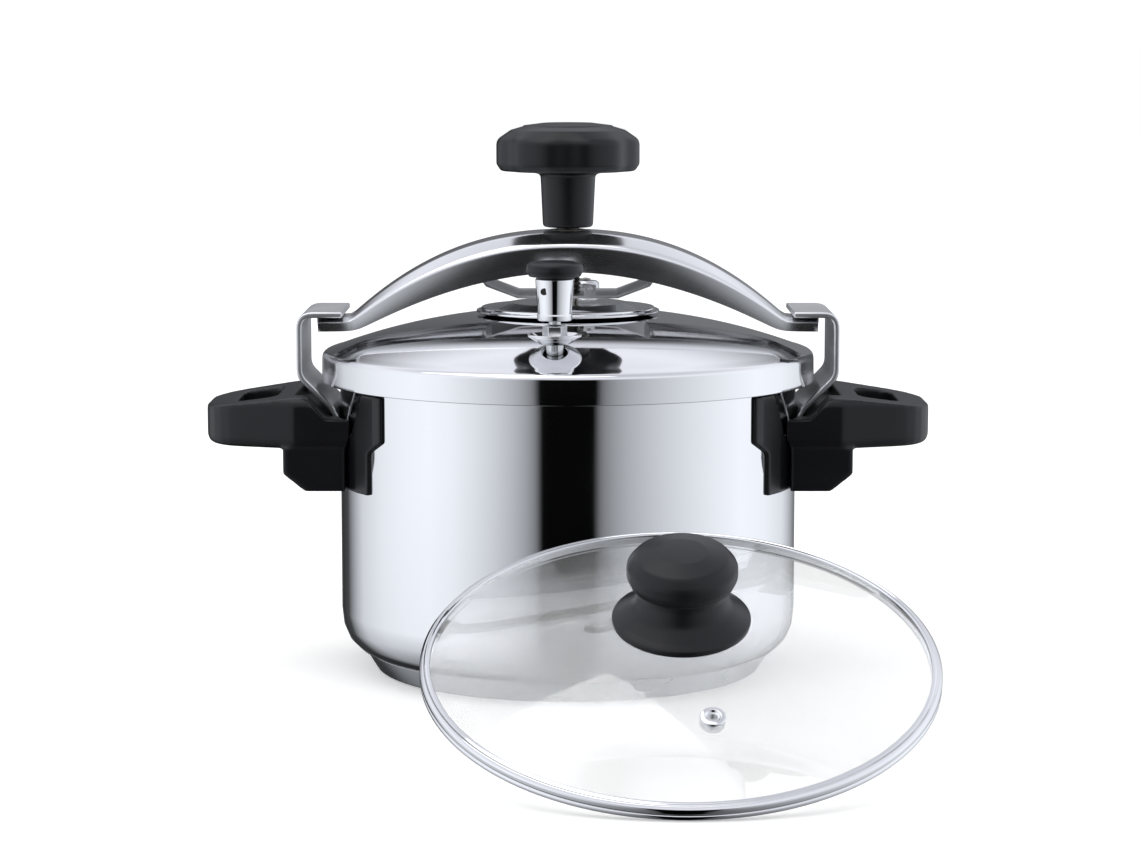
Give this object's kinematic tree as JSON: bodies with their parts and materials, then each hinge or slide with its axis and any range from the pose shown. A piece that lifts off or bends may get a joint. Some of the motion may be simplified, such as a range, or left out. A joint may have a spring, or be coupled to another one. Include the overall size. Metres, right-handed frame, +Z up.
{
  "type": "stovetop pressure cooker",
  "caption": "Round steel pressure cooker with a domed lid held by a screw-down arched bridge under two side hooks, black side handles, and a glass lid leaning on it.",
  "frame": {"origin": "centre of the base disc, on the surface that the pot stands on", "axes": "+Z up along the pot's axis, +X towards the right-hand side handle, -Y towards the working valve and the glass lid at the front"},
  "size_m": [0.3506, 0.436, 0.2661],
  "materials": {
    "polished_steel": "mirror polished stainless steel",
    "satin_steel": "satin stainless steel",
    "thread_steel": "oiled turned steel",
    "aluminium": "plain rolled aluminium",
    "black_plastic": "black phenolic, satin",
    "rubber": "black silicone",
    "glass": "clear tempered glass"
  },
  "bodies": {
    "pot": {"pot_body": "polished_steel", "base_core": "aluminium", "base_cap": "satin_steel", "right_hook": "polished_steel", "right_handle_grip": "black_plastic", "right_handle_collar": "black_plastic", "right_handle_screw": "satin_steel", "left_hook": "polished_steel", "left_handle_grip": "black_plastic", "left_handle_collar": "black_plastic", "left_handle_screw": "satin_steel"},
    "lid": {"lid_shell": "polished_steel", "lid_gasket": "rubber", "pressure_cup": "polished_steel", "valve_stem": "satin_steel", "valve_dish": "polished_steel", "valve_nut": "satin_steel", "valve_lock_nut": "satin_steel", "safety_valve_body": "polished_steel", "safety_valve_nut": "satin_steel"},
    "safety_pin": {"safety_valve_pin": "thread_steel"},
    "weight": {"valve_weight": "polished_steel", "valve_cap": "black_plastic"},
    "knob": {"clamp_knob": "black_plastic", "spindle": "thread_steel", "spindle_clip": "satin_steel"},
    "bush": {"bridge_bush": "thread_steel"},
    "bridge": {"bridge_arch": "polished_steel", "bridge_strip": "polished_steel"},
    "glass_lid": {"glass_pane": "glass", "glass_rim": "polished_steel", "glass_knob": "black_plastic", "glass_knob_washer": "satin_steel", "glass_knob_screw": "satin_steel", "vent_grommet": "satin_steel"}
  },
  "joints": [
    {"name": "lid_lift", "type": "slide", "parent": "pot", "child": "lid", "axis": [0, 0, 1], "range_m": [0, 0.28]},
    {"name": "knob_turn", "type": "hinge", "parent": "lid", "child": "knob", "pos_m": [0, 0, 0.2], "axis": [0, 0, 1], "range_deg": [0, 540]},
    {"name": "bridge_travel", "type": "slide", "parent": "lid", "child": "bush", "axis": [0, 0, -1], "range_m": [0, 0.0031]},
    {"name": "bridge_swing", "type": "hinge", "parent": "bush", "child": "bridge", "pos_m": [0, 0, 0.2], "axis": [0, 0, 1], "range_deg": [-50, 50]},
    {"name": "weight_lift", "type": "slide", "parent": "lid", "child": "weight", "axis": [0, 0, 1], "range_m": [0, 0.006]},
    {"name": "safety_pin_rise", "type": "slide", "parent": "lid", "child": "safety_pin", "axis": [0, 0, 1], "range_m": [0, 0.0025]},
    {"name": "glass_lid_lift", "type": "slide", "parent": "pot", "child": "glass_lid", "axis": [0, -0.3502, 0.9367], "range_m": [0, 0.15]}
  ],
  "couplings": [
    {"joint": "bridge_travel", "follows": "knob_turn", "m_per_rad": 0.00031831}
  ]
}
